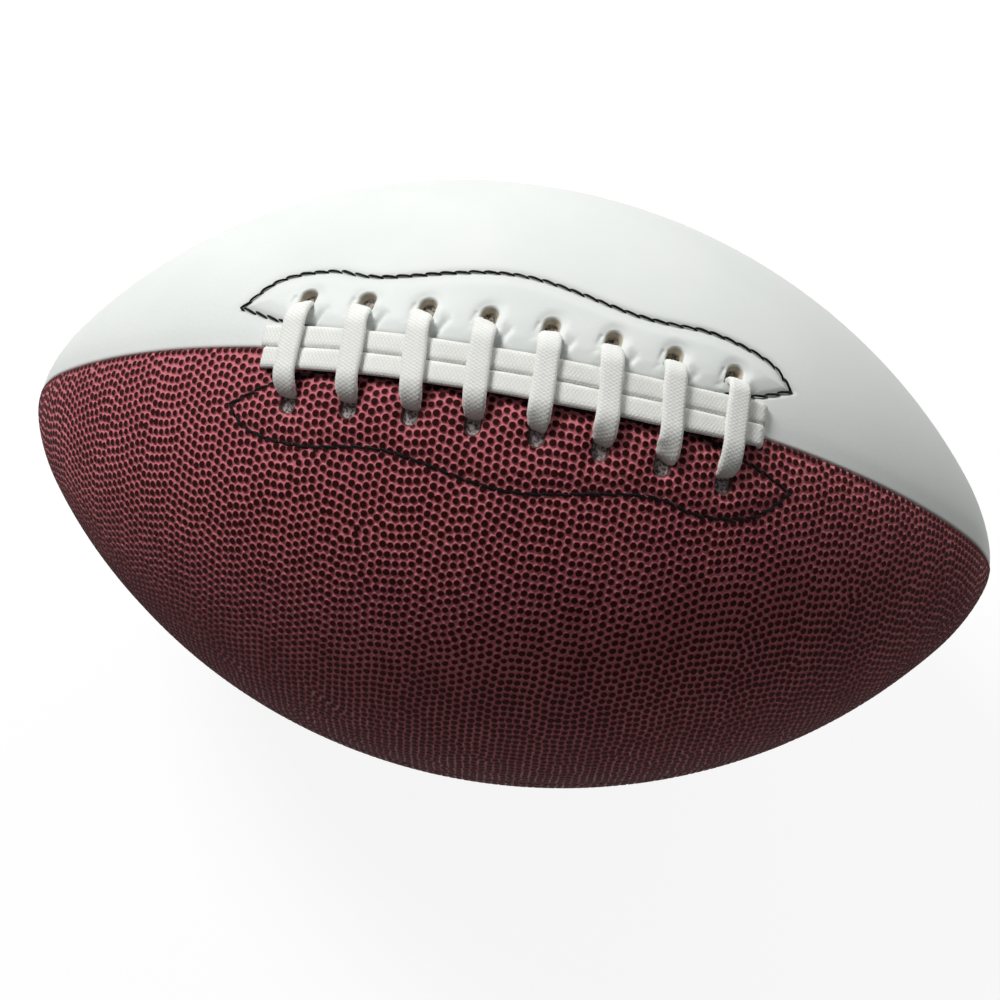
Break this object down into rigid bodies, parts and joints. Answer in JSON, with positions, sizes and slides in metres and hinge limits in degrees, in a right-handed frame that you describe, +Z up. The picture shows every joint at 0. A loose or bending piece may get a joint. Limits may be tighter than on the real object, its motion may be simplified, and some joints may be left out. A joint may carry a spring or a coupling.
{
  "type": "american football",
  "caption": "Laced american football: white and burgundy cover panels sewn over linings, a bladder with a needle valve, and a white lace through stitched facings.",
  "frame": {"origin": "centre of the ball, on its long axis half way between the tips", "axes": "+X along the ball, +Z up through the middle of the lacing, +Y towards the white side"},
  "size_m": [0.279, 0.17, 0.1735],
  "materials": {
    "white_cover": "smooth satin",
    "burgundy_cover": "pebbled satin",
    "lining_cloth": "woven",
    "facing_cloth": "felted",
    "black_thread": "waxed",
    "seam_thread": "waxed",
    "lace_braid": "braided",
    "tongue_felt": "felted",
    "bladder_rubber": "matt",
    "valve_rubber": "matt",
    "valve_core_rubber": "matt"
  },
  "bodies": {
    "root": {"panel_white_upper": "white_cover", "panel_white_lower": "white_cover", "panel_burgundy_upper": "burgundy_cover", "panel_burgundy_lower": "burgundy_cover", "lining_white_upper": "lining_cloth", "lining_white_lower": "lining_cloth", "lining_burgundy_upper": "lining_cloth", "lining_burgundy_lower": "lining_cloth", "facing_white": "facing_cloth", "facing_burgundy": "facing_cloth", "facing_stitching_white": "black_thread", "facing_stitching_burgundy": "black_thread", "seam_thread_laced": "seam_thread", "seam_thread_near": "seam_thread", "seam_thread_bottom": "seam_thread", "seam_thread_far": "seam_thread", "lace": "lace_braid", "tongue": "tongue_felt", "bladder": "bladder_rubber", "valve_body": "valve_rubber", "valve_core": "valve_core_rubber"}
  },
  "joints": []
}
